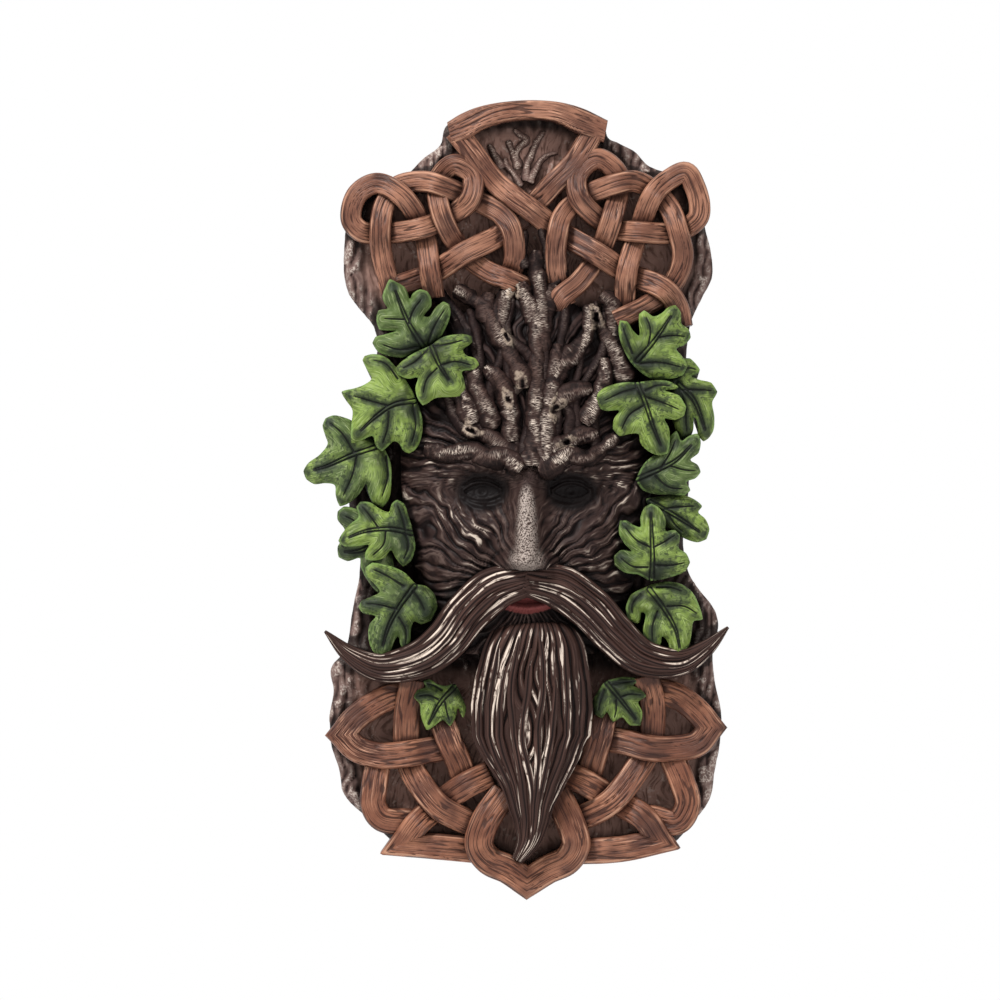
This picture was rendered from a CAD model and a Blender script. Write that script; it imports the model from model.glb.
"""Dresses the cast wall plaque: carved bark, woven ribbons, ivy leaves, a bearded face, and its paint."""
import math

import bpy
import numpy as np
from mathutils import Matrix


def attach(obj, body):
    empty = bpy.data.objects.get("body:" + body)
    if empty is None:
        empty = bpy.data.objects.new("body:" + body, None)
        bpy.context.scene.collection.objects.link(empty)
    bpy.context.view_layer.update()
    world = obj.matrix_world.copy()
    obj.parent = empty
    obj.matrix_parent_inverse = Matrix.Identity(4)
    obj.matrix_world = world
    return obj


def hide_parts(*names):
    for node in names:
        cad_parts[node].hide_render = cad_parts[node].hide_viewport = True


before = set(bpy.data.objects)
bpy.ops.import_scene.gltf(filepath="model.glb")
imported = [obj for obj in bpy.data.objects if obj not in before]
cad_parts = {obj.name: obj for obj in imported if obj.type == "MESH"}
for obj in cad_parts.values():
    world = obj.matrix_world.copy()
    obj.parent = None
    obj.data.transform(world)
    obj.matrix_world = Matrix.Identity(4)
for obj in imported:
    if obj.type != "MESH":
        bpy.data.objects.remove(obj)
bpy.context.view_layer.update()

MM = 0.001

# The layout grid of the plaque: one unit is a share of the plaque's height.
PLAQUE_HEIGHT = 330.0
GRID_HEIGHT = 799.0
GRID_CENTRE_X = 526.5
GRID_CENTRE_Y = 499.5
UNIT = PLAQUE_HEIGHT / GRID_HEIGHT

# Sizes in millimetres, most of them those of the solid.
BOARD_THICKNESS = 17.0
BOARD_RIM_ROUND = 5.0
ROOT_LEVEL = 4.0
RIBBON_WIDTH = 8.8
ARCH_LEG_WIDTH = 9.4
LOWER_RIBBON_WIDTH = 10.8
RING_WIDTH = 12.0
RIBBON_RISE = 12.0
WEAVE_RISE = 3.2
ARCH_RISE = 14.0
ARCH_END_DROP = 1.8
LEAF_RISE = 18.0
LEAF_LAYER_RISE = 4.0
SPRIG_RISE = 17.0
LEAF_CROWN = 2.6
LEAF_ROOT_SHARE = 0.62
HEAD_HEIGHT = 134.0
HEAD_WIDTH = 104.0
HEAD_EDGE_RISE = 4.0
HEAD_RISE = 21.0
HEAD_TOP_SHARE = 1.12
FACE_WIDTH = 92.0
CHIN_GRID_Y = 654.0
BRANCH_RADIUS = 3.8
TWIG_RADIUS = 2.2
WINDOW_TWIG_RADIUS = 1.5
BRANCH_LIFT = 1.3
BRANCH_TOP_RISE = 9.0
MOUSTACHE_WIDTH = 18.0
MOUSTACHE_ROOT_RISE = 36.0
MOUSTACHE_TIP_RISE = 17.0
BEARD_WIDTH = 51.0
BEARD_ROOT_RISE = 32.0
BEARD_TIP_RISE = 19.0

# How a ribbon passes at a point of its path, or its mitred corner. A point without one is level.
OVER = 1.0
UNDER = -1.0
CORNER = 0.0

BOARD_OUTLINE = [
    (448, 122), (525, 108), (603, 122), (609, 136), (623, 143), (636, 150), (648, 163), (662, 169),
    (690, 172), (703, 190), (706, 225), (712, 250), (713, 276), (703, 296), (691, 325), (686, 400),
    (690, 480), (684, 545), (691, 576), (716, 612), (719, 630), (714, 652), (716, 682), (722, 712),
    (721, 745), (716, 770), (711, 800), (692, 826), (668, 849), (620, 862), (570, 864), (527, 886),
    (490, 866), (450, 858), (400, 848), (368, 820), (344, 797), (338, 770), (331, 748), (329, 715),
    (333, 692), (330, 670), (344, 652), (352, 610), (360, 560), (348, 498), (362, 452), (370, 390),
    (376, 332), (350, 296), (344, 278), (347, 215), (358, 186), (400, 177), (424, 156), (440, 143),
]

ARCH_LEGS = [
    [(455, 130), (469, 147), (496, 182), (530, 209, OVER), (559, 230, UNDER), (598, 254, OVER),
     (627, 272, UNDER), (664, 289, OVER), (677, 305), (682, 327)],
    [(594, 130), (575, 161), (553, 184), (530, 208, UNDER), (507, 230, UNDER), (463, 254, OVER),
     (430, 274, UNDER), (398, 286)],
]

UPPER_RIBBONS = [
    [(434, 298), (430, 272, OVER), (423, 229, UNDER), (401, 195, OVER), (376, 183), (357, 194), (351, 219),
     (361, 231), (380, 233, UNDER), (421, 228, OVER), (444, 218, UNDER), (470, 199, OVER), (472, 175),
     (455, 164), (439, 178, UNDER), (441, 212, OVER), (461, 249, UNDER), (488, 271), (509, 280, OVER),
     (531, 290, UNDER)],
    [(392, 296), (381, 250), (380, 231, OVER), (384, 205), (397, 186, UNDER), (420, 181), (437, 184, OVER),
     (470, 197, UNDER), (500, 213), (512, 231, OVER), (514, 262), (509, 276, UNDER), (503, 286)],
    [(625, 309, UNDER), (627, 272, OVER), (639, 231, UNDER), (653, 195, OVER), (668, 180), (686, 172),
     (695, 186), (700, 205), (698, 218), (678, 231, UNDER), (641, 232, OVER), (611, 226, UNDER),
     (580, 199, OVER), (578, 174), (597, 158), (617, 172), (619, 188, UNDER), (611, 221, OVER),
     (599, 253, UNDER), (580, 281), (561, 297, OVER), (552, 312)],
    [(616, 321, OVER), (648, 305), (670, 288, UNDER), (683, 258), (678, 231, OVER), (670, 208),
     (654, 190, UNDER), (636, 181), (619, 183, OVER), (580, 198, UNDER), (564, 214), (558, 231, OVER),
     (556, 268), (561, 294, UNDER), (566, 306)],
]

LOWER_RIBBONS = [
    [(412, 693, UNDER), (387, 698), (356, 718), (342, 735, CORNER), (356, 749), (380, 756),
     (407, 754, OVER), (427, 751), (452, 747, UNDER)],
    [(413, 680, OVER), (407, 712), (407, 753, UNDER), (414, 774), (438, 806, OVER), (458, 818),
     (478, 827, UNDER)],
    [(441, 718), (451, 745, OVER), (459, 763), (466, 784, UNDER)],
    [(490, 774), (465, 786, OVER), (438, 806, UNDER), (418, 823, OVER), (403, 844, CORNER), (427, 846),
     (449, 848), (476, 851, UNDER)],
    [(378, 762, UNDER), (374, 787), (373, 805), (382, 819), (414, 823, UNDER)],
    [(648, 688, UNDER), (678, 697), (697, 711), (711, 728, CORNER), (698, 744), (672, 749),
     (648, 748, OVER), (624, 742), (600, 738, UNDER)],
    [(645, 676, OVER), (652, 701), (650, 745, UNDER), (638, 768), (613, 800, OVER), (593, 813),
     (576, 820, UNDER)],
    [(606, 712), (599, 739, OVER), (593, 760), (587, 782, UNDER)],
    [(566, 774), (588, 784, OVER), (613, 800, UNDER), (644, 818, OVER), (660, 841, CORNER), (630, 848),
     (605, 851), (578, 852, UNDER)],
    [(672, 757, UNDER), (683, 784), (688, 805), (678, 822), (648, 818, UNDER)],
]

RING_PATH = [
    (505, 792), (485, 822, OVER), (479, 845, OVER), (489, 861), (508, 870), (527, 883, CORNER), (548, 870),
    (567, 861), (576, 845, OVER), (571, 824, OVER), (556, 792),
]

ARCH_OUTER = [(447, 122), (462, 113), (485, 105), (525, 100), (560, 102), (585, 109), (608, 120)]
ARCH_INNER = [(452, 144), (467, 139), (487, 127), (525, 119), (557, 122), (579, 134), (604, 142)]

# Ivy leaves: layer, whether it overhangs the board, outline, main vein from the stalk, and side veins.
LEAVES_LEFT = [
    (1, False,
     [(423, 348), (437, 341), (446, 327), (450, 314), (449, 305), (443, 302), (435, 309), (429, 317),
      (424, 316), (431, 307), (431, 299), (427, 292), (420, 290), (413, 294), (410, 300), (408, 294),
      (405, 288), (397, 283), (390, 280), (386, 288), (383, 297), (385, 304), (388, 309), (379, 311),
      (377, 320), (380, 330), (396, 331), (384, 335), (376, 337), (373, 343), (379, 352), (390, 356),
      (406, 357)], [(424, 348), (408, 322), (394, 287)],
     [[(409, 324), (413, 312), (423, 298)], [(428, 344), (435, 326), (446, 308)], [(405, 320), (383, 319)],
      [(418, 347), (400, 350), (380, 344)]]),
    (2, False,
     [(431, 346), (441, 339), (451, 336), (462, 335), (471, 337), (472, 343), (463, 350), (466, 356),
      (475, 359), (479, 365), (473, 370), (462, 372), (464, 381), (465, 390), (462, 396), (450, 397),
      (436, 398), (428, 403), (423, 405), (418, 398), (416, 388), (418, 378), (409, 379), (399, 375),
      (396, 369), (405, 360), (416, 353)], [(432, 347), (440, 366), (451, 383)],
     [[(434, 347), (447, 345), (466, 340)], [(441, 366), (455, 362), (473, 366)],
      [(437, 369), (427, 380), (423, 396)], [(428, 350), (416, 362), (401, 370)]]),
    (1, True,
     [(417, 402), (408, 384), (396, 368), (386, 358), (374, 355), (365, 357), (363, 361), (368, 371),
      (372, 379), (365, 385), (354, 389), (342, 392), (347, 401), (353, 410), (352, 425), (352, 443),
      (362, 440), (373, 436), (376, 445), (382, 451), (387, 447), (394, 441), (399, 443), (403, 450),
      (409, 453), (416, 448), (421, 437), (422, 420)], [(416, 401), (394, 405), (376, 417), (358, 434)],
     [[(398, 379), (386, 364), (371, 360)], [(388, 406), (370, 401), (350, 395)],
      [(389, 412), (388, 428), (382, 446)], [(413, 404), (416, 425), (411, 446)]]),
    (0, True,
     [(382, 447), (366, 436), (353, 422), (344, 418), (334, 416), (326, 419), (323, 426), (326, 437),
      (328, 444), (320, 455), (309, 463), (304, 471), (307, 479), (315, 484), (326, 483), (335, 485),
      (336, 495), (340, 506), (350, 502), (359, 494), (366, 484), (369, 494), (373, 504), (382, 507),
      (389, 497), (391, 480), (390, 462)], [(379, 446), (350, 456), (325, 467), (309, 471)],
     [[(354, 452), (342, 433), (327, 421)], [(357, 455), (353, 474), (342, 499)],
      [(386, 456), (388, 476), (381, 500)]]),
    (1, True,
     [(413, 533), (409, 518), (404, 504), (397, 500), (392, 504), (389, 512), (380, 509), (371, 503),
      (361, 502), (357, 507), (359, 517), (351, 524), (344, 532), (339, 541), (345, 546), (357, 546),
      (369, 545), (366, 552), (366, 559), (376, 560), (385, 557), (391, 550), (396, 558), (403, 566),
      (411, 560), (415, 547)], [(412, 533), (390, 529), (366, 531), (345, 539)],
     [[(379, 528), (369, 514), (361, 505)], [(386, 531), (384, 544), (371, 557)],
      [(405, 533), (409, 545), (403, 561)], [(406, 530), (402, 516), (397, 503)]]),
    (0, True,
     [(352, 508), (344, 507), (338, 512), (338, 520), (345, 530), (342, 540), (338, 547), (339, 557),
      (348, 561), (360, 558), (361, 567), (367, 579), (379, 593), (395, 580), (390, 550), (373, 518)],
     [(374, 545), (358, 551), (342, 552)],
     [[(366, 536), (356, 522), (343, 515)], [(376, 556), (372, 570), (374, 584)]]),
    (1, True,
     [(416, 584), (406, 574), (395, 568), (384, 565), (373, 563), (366, 568), (367, 576), (375, 584),
      (380, 592), (371, 597), (362, 601), (359, 607), (364, 613), (376, 616), (370, 624), (369, 637),
      (373, 650), (382, 658), (390, 652), (394, 642), (398, 636), (401, 645), (406, 650), (410, 642),
      (411, 629), (414, 621), (421, 624), (431, 620), (437, 607), (434, 594), (425, 586)],
     [(415, 586), (400, 606), (389, 626), (382, 650)],
     [[(404, 586), (388, 576), (371, 568)], [(397, 609), (382, 605), (364, 603)],
      [(399, 617), (406, 629), (406, 645)], [(413, 591), (420, 600), (426, 612)]]),
]
LEAVES_RIGHT = [
    (1, False,
     [(633, 365), (624, 350), (619, 334), (620, 321), (627, 322), (632, 330), (639, 336), (639, 325),
      (639, 315), (644, 311), (653, 317), (661, 314), (668, 308), (675, 306), (680, 313), (681, 324),
      (688, 330), (690, 338), (684, 345), (676, 349), (682, 357), (687, 366), (682, 375), (668, 379),
      (650, 378)], [(637, 361), (654, 341), (673, 313)],
     [[(632, 354), (626, 338), (622, 326)], [(648, 346), (650, 330), (645, 315)],
      [(658, 338), (672, 336), (687, 337)], [(640, 364), (660, 363), (683, 368)]]),
    (2, False,
     [(637, 383), (626, 383), (614, 385), (602, 390), (595, 398), (597, 407), (606, 411), (619, 411),
      (614, 419), (613, 429), (619, 436), (629, 434), (638, 434), (640, 443), (648, 451), (658, 455),
      (667, 453), (669, 441), (668, 428), (664, 419), (674, 420), (683, 416), (685, 407), (678, 396),
      (664, 391), (678, 388), (668, 382), (652, 381)], [(637, 384), (645, 404), (653, 428), (662, 450)],
     [[(636, 389), (621, 393), (602, 402)], [(643, 406), (629, 415), (620, 432)],
      [(644, 397), (662, 403), (681, 411)], [(645, 391), (656, 386), (672, 386)]]),
    (0, True,
     [(670, 377), (680, 359), (690, 359), (697, 366), (700, 371), (691, 376), (699, 380), (711, 383),
      (717, 392), (712, 402), (714, 417), (713, 430), (708, 438), (703, 441), (698, 435), (697, 422),
      (694, 417), (693, 430), (689, 439), (681, 439), (673, 422), (668, 398)],
     [(678, 384), (694, 401), (706, 434)],
     [[(684, 390), (698, 390), (714, 391)], [(676, 377), (686, 368), (698, 370)],
      [(679, 388), (684, 408), (687, 436)]]),
    (1, True,
     [(636, 480), (644, 464), (656, 453), (667, 440), (676, 431), (681, 441), (689, 436), (697, 434),
      (700, 442), (698, 453), (690, 460), (697, 465), (700, 472), (695, 478), (686, 482), (690, 490),
      (684, 495), (670, 494), (656, 494), (643, 490)], [(637, 479), (658, 470), (676, 460), (694, 442)],
     [[(660, 469), (670, 452), (676, 438)], [(670, 466), (684, 470), (697, 471)],
      [(655, 476), (668, 487), (685, 489)]]),
    (0, True,
     [(646, 499), (657, 497), (669, 495), (682, 495), (693, 499), (702, 506), (698, 512), (705, 519),
      (709, 529), (706, 539), (697, 542), (684, 538), (674, 531), (662, 524), (652, 512)],
     [(650, 502), (672, 514), (703, 534)],
     [[(664, 509), (678, 507), (697, 506)], [(668, 515), (676, 526), (684, 533)]]),
    (2, True,
     [(650, 580), (638, 574), (625, 572), (615, 565), (614, 556), (620, 550), (631, 551), (624, 543),
      (619, 533), (620, 521), (627, 521), (633, 525), (640, 527), (640, 518), (644, 508), (651, 504),
      (659, 509), (665, 520), (665, 531), (674, 530), (679, 535), (678, 548), (685, 553), (689, 562),
      (684, 571), (668, 577)], [(651, 579), (652, 558), (651, 532), (650, 508)],
     [[(650, 547), (636, 540), (623, 525)], [(647, 567), (632, 566), (618, 556)],
      [(653, 547), (663, 542), (676, 534)], [(654, 565), (670, 565), (686, 562)]]),
    (1, True,
     [(646, 587), (657, 583), (670, 582), (682, 585), (692, 593), (698, 605), (702, 619), (693, 621),
      (691, 632), (688, 645), (679, 657), (671, 652), (667, 641), (662, 636), (660, 644), (654, 649),
      (646, 643), (643, 631), (645, 614), (641, 612), (638, 623), (629, 621), (626, 608), (631, 595)],
     [(649, 589), (664, 609), (675, 629), (680, 652)],
     [[(667, 606), (684, 606), (699, 615)], [(657, 611), (652, 626), (652, 643)],
      [(640, 594), (632, 604), (632, 615)], [(656, 587), (670, 587), (684, 592)]]),
]

# How light each leaf is painted.
SHADY = -0.2
PLAIN = 0.0
SUNNY = 0.16
LIFTS_LEFT = [SHADY, SUNNY, SUNNY, PLAIN, PLAIN, SHADY, PLAIN]
LIFTS_RIGHT = [SUNNY, SUNNY, SUNNY, SHADY, SUNNY, PLAIN, SUNNY]
LIFTS_SPRIGS = [SUNNY, SUNNY]

SPRIG_LEAVES = [
    (0, False,
     [(455, 684), (446, 686), (437, 684), (429, 679), (423, 681), (426, 687), (418, 690), (414, 697),
      (420, 704), (421, 715), (427, 730), (434, 726), (443, 720), (450, 726), (455, 718), (458, 708),
      (463, 718), (466, 709), (462, 698)], [(455, 686), (440, 703), (427, 727)],
     [[(438, 699), (429, 695), (417, 696)], [(445, 702), (447, 712), (450, 722)],
      [(442, 690), (433, 685), (425, 683)]]),
    (0, False,
     [(606, 681), (614, 679), (624, 677), (634, 678), (643, 680), (633, 685), (641, 690), (646, 696),
      (638, 702), (642, 712), (640, 725), (630, 725), (622, 717), (613, 722), (607, 712), (602, 718),
      (595, 714), (593, 701), (599, 690)], [(607, 683), (621, 700), (638, 722)],
     [[(621, 697), (629, 694), (643, 695)], [(616, 700), (616, 710), (614, 719)],
      [(604, 690), (600, 702), (598, 712)], [(613, 684), (625, 682), (637, 681)]]),
]

BRANCHES = [
    [(531, 466), (534, 436), (536, 400), (537, 362), (538, 330), (541, 296)],
    [(536, 322), (530, 306), (524, 294), (520, 281)],
    [(541, 316), (548, 302), (555, 284)],
    [(523, 389), (521, 375), (510, 354), (497, 332), (487, 311), (472, 299), (455, 288)],
    [(511, 442), (510, 414), (505, 392), (496, 377), (485, 367)],
    [(545, 460), (546, 430), (548, 404), (552, 384), (557, 362), (556, 344)],
    [(553, 378), (562, 364), (576, 352), (587, 336), (590, 318), (588, 304)],
    [(550, 404), (563, 396), (578, 391), (592, 389)],
    [(622, 386), (618, 358), (609, 338), (599, 322), (592, 306)],
    [(521, 470), (507, 458), (489, 459), (472, 452), (452, 454), (424, 449)],
    [(517, 456), (503, 449), (492, 438), (479, 435), (463, 428)],
    [(538, 470), (553, 465), (569, 456), (586, 459), (602, 448), (616, 436)],
    [(543, 461), (553, 449), (567, 444), (580, 436), (598, 434)],
    [(499, 326), (502, 308), (506, 296), (514, 286)],
    [(489, 322), (487, 306), (489, 292)],
    [(492, 430), (486, 406), (476, 384), (468, 362)],
    [(474, 424), (464, 400), (452, 376), (446, 350)],
    [(584, 424), (596, 404), (604, 382), (603, 358)],
    [(612, 340), (614, 320), (612, 303), (602, 293)],
    [(539, 352), (541, 320), (540, 296), (537, 274), (536, 250)],
]
TWIGS = [
    [(434, 290), (456, 314), (474, 345), (480, 374)],
    [(537, 364), (524, 351), (513, 341), (505, 337)],
    [(526, 374), (518, 386), (510, 399)],
    [(528, 316), (525, 300), (519, 281)],
    [(568, 436), (570, 418), (563, 402)],
    [(466, 352), (458, 330), (448, 308)],
    [(545, 296), (556, 283), (566, 268)],
    [(526, 268), (521, 250), (524, 230)],
    [(545, 270), (547, 250), (541, 228)],
]

# Thin twigs in the arch window.
WINDOW_TWIGS = [
    [(519, 166), (516, 153), (521, 145), (527, 138), (521, 134), (514, 128)],
    [(518, 168), (514, 154), (511, 147), (508, 139)],
    [(526, 180), (527, 165), (532, 152), (536, 142), (544, 130)],
    [(502, 168), (496, 156), (489, 143)],
    [(521, 186), (514, 173), (507, 165), (505, 157)],
    [(530, 182), (536, 169), (542, 159), (549, 154), (558, 152)],
]

# Broken stub ends with an open ring: place and radius in millimetres.
STUBS = [
    (507, 338, 1.5), (514, 288, 1.6), (522, 384, 2.0), (555, 408, 1.9), (596, 316, 1.9), (471, 431, 1.7),
    (508, 399, 1.7), (566, 443, 1.5),
]

MOUSTACHE_PATHS = [
    [(524, 580), (496, 588), (468, 612), (446, 640), (420, 659), (380, 667), (350, 654), (325, 631)],
    [(529, 580), (560, 587), (590, 608), (614, 634), (642, 657), (680, 662), (706, 648), (728, 627)],
]

BEARD_ROWS = [
    (622, 533, 0.72), (650, 534, 0.84), (680, 533, 0.95), (706, 532, 1.0), (735, 531, 0.98),
    (760, 532, 0.78), (783, 532, 0.55), (803, 531, 0.4), (822, 531, 0.3), (841, 528, 0.2), (860, 517, 0.09),
]

# Locks laid over the body of the hair: how far to the side, and where along it each starts and ends.
MOUSTACHE_LOCKS = [
    (-0.72, 0.0, 0.7), (-0.35, 0.08, 0.9), (0.05, 0.0, 0.97), (0.42, 0.1, 0.93), (0.76, 0.02, 0.8),
]
BEARD_LOCKS = [
    (-0.82, 0.12, 0.8), (-0.6, 0.04, 0.94), (-0.36, 0.2, 0.9), (-0.14, 0.02, 0.98), (0.08, 0.1, 0.86),
    (0.3, 0.03, 1.0), (0.52, 0.18, 0.84), (0.7, 0.05, 0.92), (0.86, 0.16, 0.7),
]

# Shaping and noise

HASH_COLUMN = 374761393
HASH_ROW = 668265263
HASH_SEED = 974634777
HASH_SPREAD = 1274126177
HASH_MASK = 0xFFFFFFFF
LAYER_WEIGHTS = (1.0, 0.5, 0.25)


def smooth(value, low, high):
    """A smooth step from 0 at low to 1 at high."""
    share = np.clip((value - low) / (high - low), 0.0, 1.0)
    return share * share * (3.0 - 2.0 * share)


def bell(distance, spread):
    return np.exp(-(distance / spread) ** 2)


def mix(low, high, share):
    return low + (high - low) * share


def lattice(column, row, seed):
    """A repeatable random value from 0 to 1 for each whole-number lattice point."""
    key = (column * HASH_COLUMN + row * HASH_ROW + seed * HASH_SEED) & HASH_MASK
    key = ((key ^ (key >> 13)) * HASH_SPREAD) & HASH_MASK
    return ((key ^ (key >> 16)) & 0xFFFF) / 65535.0


def noise(across, along, seed):
    """Smooth value noise from 0 to 1 over a plane."""
    across, along = np.broadcast_arrays(np.asarray(across, float), np.asarray(along, float))
    column = np.floor(across).astype(np.int64)
    row = np.floor(along).astype(np.int64)
    right = across - column
    up = along - row
    right = right * right * (3.0 - 2.0 * right)
    up = up * up * (3.0 - 2.0 * up)
    low = mix(lattice(column, row, seed), lattice(column + 1, row, seed), right)
    high = mix(lattice(column, row + 1, seed), lattice(column + 1, row + 1, seed), right)
    return mix(low, high, up)


def layered(across, along, seed):
    """Noise of several scales added up, from 0 to 1."""
    parts = [weight * noise(across / weight, along / weight, seed + number)
             for number, weight in enumerate(LAYER_WEIGHTS)]
    return sum(parts) / sum(LAYER_WEIGHTS)


def creases(across, along, seed):
    """Lines of noise: 1 on the line, falling to 0 away from it."""
    return 1.0 - np.abs(2.0 * noise(across, along, seed) - 1.0)


def strands(lane, roundness=0.6):
    """Rounded strands side by side: 1 on a crest, 0 in the groove at each whole number."""
    return np.abs(np.sin(math.pi * lane)) ** roundness


# Lines and places

CURVE_PARTS = 24
OUTLINE_PARTS = 6


def place(x, y, out=0.0):
    """A point in millimetres from a grid place and a distance from the wall."""
    return np.array([(x - GRID_CENTRE_X) * UNIT, -out, (GRID_CENTRE_Y - y) * UNIT])


def curve_piece(first, second, third, fourth, share):
    """Points between the second and the third of four points on a centripetal curve."""
    knots = [0.0]
    for start, end in ((first, second), (second, third), (third, fourth)):
        knots.append(knots[-1] + max(np.linalg.norm(end - start), 1e-6) ** 0.5)
    t = mix(knots[1], knots[2], share)[:, None]
    low = mix(first, second, (t - knots[0]) / (knots[1] - knots[0]))
    middle = mix(second, third, (t - knots[1]) / (knots[2] - knots[1]))
    high = mix(third, fourth, (t - knots[2]) / (knots[3] - knots[2]))
    low = mix(low, middle, (t - knots[0]) / (knots[2] - knots[0]))
    high = mix(middle, high, (t - knots[1]) / (knots[3] - knots[1]))
    return mix(low, high, (t - knots[1]) / (knots[2] - knots[1]))


def smooth_line(points, step):
    """Evenly spaced points on a smooth curve through the given points."""
    points = np.asarray(points, float)
    rail = np.vstack([2 * points[0] - points[1], points, 2 * points[-1] - points[-2]])
    share = np.linspace(0.0, 1.0, CURVE_PARTS, endpoint=False)
    pieces = [curve_piece(*four, share) for four in zip(rail, rail[1:], rail[2:], rail[3:])]
    dense = np.vstack(pieces + [points[-1:]])
    along = distance_along(dense)
    count = max(2, int(round(along[-1] / step)))
    return at_distance(dense, along, np.linspace(0.0, along[-1], count + 1))


def closed_line(points, pointed=0.0):
    """A smooth closed outline, clockwise seen from the front, whose outer corners may be more pointed."""
    points = np.array([place(x, y) for x, y in points])
    area = np.sum(points[:, 0] * np.roll(points[:, 2], -1) - np.roll(points[:, 0], -1) * points[:, 2])
    if area > 0:
        points = points[::-1]
    arriving = directions_between(np.roll(points, 1, axis=0), points)
    leaving = np.roll(arriving, -1, axis=0)
    turn = arriving[:, 2] * leaving[:, 0] - arriving[:, 0] * leaving[:, 2]
    sharp = pointed * smooth(turn, 0.45, 0.8)
    share = np.linspace(0.0, 1.0, OUTLINE_PARTS, endpoint=False)
    count = len(points)
    pieces = []
    for index in range(count):
        four = [points[(index + shift) % count] for shift in (-1, 0, 1, 2)]
        straight = mix(four[1], four[2], share[:, None])
        weight = mix(sharp[index], sharp[(index + 1) % count], share)[:, None]
        pieces.append(mix(curve_piece(*four, share), straight, weight))
    return np.vstack(pieces)


def directions_between(starts, ends):
    runs = ends - starts
    return runs / np.linalg.norm(runs, axis=1)[:, None]


def distance_along(line):
    steps = np.linalg.norm(np.diff(line, axis=0), axis=1)
    return np.concatenate([[0.0], np.cumsum(steps)])


def at_distance(line, along, wanted):
    return np.stack([np.interp(wanted, along, line[:, axis]) for axis in range(line.shape[1])], axis=-1)


def directions(line):
    """Unit directions along a line, flat in the plane of the wall."""
    along = np.gradient(line, axis=0)
    along[:, 1] = 0.0
    return along / np.linalg.norm(along, axis=1)[:, None]


def crosswise(along):
    return np.stack([along[..., 2], np.zeros_like(along[..., 0]), -along[..., 0]], axis=-1)


def beside(line, aside):
    """Rows of places beside each point of a line, at these distances across it."""
    return line[:, None, :] + crosswise(directions(line))[:, None, :] * aside[..., None]


def line_distance(x, z, line):
    """Distance in the plane of the wall from places to a line, and the share of the way along it."""
    best = np.full(x.shape, 99.0)
    way = np.zeros(x.shape)
    count = len(line) - 1
    for number in range(count):
        start_x, start_z = line[number, [0, 2]]
        run_x, run_z = line[number + 1, [0, 2]] - line[number, [0, 2]]
        share = ((x - start_x) * run_x + (z - start_z) * run_z) / (run_x ** 2 + run_z ** 2)
        share = np.clip(share, 0.0, 1.0)
        gap = np.hypot(x - start_x - share * run_x, z - start_z - share * run_z)
        way = np.where(gap < best, (number + share) / count, way)
        best = np.minimum(best, gap)
    return best, way


# Meshes

# How far back each row of a strip's side wall lies, as a share of the way to its root.
SKIRT_SHARES = np.array([1.0, 0.5, 0.04])

# What each point carries for the paint, with its plain value.
PAINT_VALUES = {"carve": 0.0, "mark": 0.0, "tone": 0.5, "lift": 0.0, "across": 0.0, "along": 0.0}


class Shell:
    """Points and faces gathered into one mesh, with values for its paint on each point."""

    def __init__(self):
        self.points = []
        self.faces = []
        self.values = {name: [] for name in PAINT_VALUES}
        self.count = 0

    def add_points(self, points, **values):
        """Adds places and their paint values, and gives their numbers in the same layout."""
        shape = points.shape[:-1]
        self.points.append(points.reshape(-1, 3))
        for name, plain in PAINT_VALUES.items():
            self.values[name].append(np.broadcast_to(values.get(name, plain), shape).reshape(-1))
        numbers = np.arange(int(np.prod(shape))).reshape(shape) + self.count
        self.count += numbers.size
        return numbers

    def add_rings(self, numbers):
        """Joins rows of numbers, each of them a closed ring."""
        ahead = np.roll(numbers, -1, axis=1)
        quads = np.stack([numbers[:-1], ahead[:-1], ahead[1:], numbers[1:]], axis=-1)
        self.faces.extend(quads.reshape(-1, 4).tolist())

    def add_strip(self, top, root, **values):
        """Adds rows of tops as a closed strip whose side walls run back to the root."""
        values = {name: skirted(np.broadcast_to(value, top.shape[:2]), name)
                  for name, value in values.items()}
        numbers = self.add_points(with_skirt(top, root), **values)
        self.add_rings(numbers)
        self.faces.append(numbers[0, ::-1].tolist())
        self.faces.append(numbers[-1].tolist())

    def add_sheet(self, front, quads, loop, wall, shade, wall_carve, **values):
        """Adds a front face inside its outline, the wall rings that run back from it and a plain back."""
        numbers = self.add_points(front, **values)
        self.faces.extend(numbers[quads].tolist())
        edges = {name: np.broadcast_to(value, len(front))[loop][None] for name, value in values.items()}
        edges["mark"] = np.maximum(edges["mark"], shade[:, None])
        edges["carve"] = wall_carve
        rings = self.add_points(wall, **edges)
        self.add_rings(np.vstack([numbers[loop][None], rings]))
        back = self.add_points(wall[-1], mark=shade[-1], across=wall[-1][:, 0], along=wall[-1][:, 2])
        self.faces.append(back.tolist())

    def cloud(self):
        return np.vstack(self.points)


def with_skirt(top, root):
    """Closes rows of tops into rings by side walls that run back to the root level."""
    root = np.broadcast_to(root, len(top))[:, None]
    left = top[:, :1].repeat(len(SKIRT_SHARES), axis=1)
    right = top[:, -1:].repeat(len(SKIRT_SHARES), axis=1)
    left[:, :, 1] = mix(top[:, :1, 1], -root, SKIRT_SHARES[None, :])
    right[:, :, 1] = mix(top[:, -1:, 1], -root, SKIRT_SHARES[None, ::-1])
    return np.concatenate([left, top, right], axis=1)


def skirted(values, name):
    """Repeats the edge values of a grid over its side walls, where the carving is flat."""
    left = values[:, :1].repeat(len(SKIRT_SHARES), 1)
    right = values[:, -1:].repeat(len(SKIRT_SHARES), 1)
    if name == "carve":
        left = np.minimum(left, 0.0)
        right = np.minimum(right, 0.0)
    return np.concatenate([left, values, right], axis=1)


# Sheets inside an outline

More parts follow.
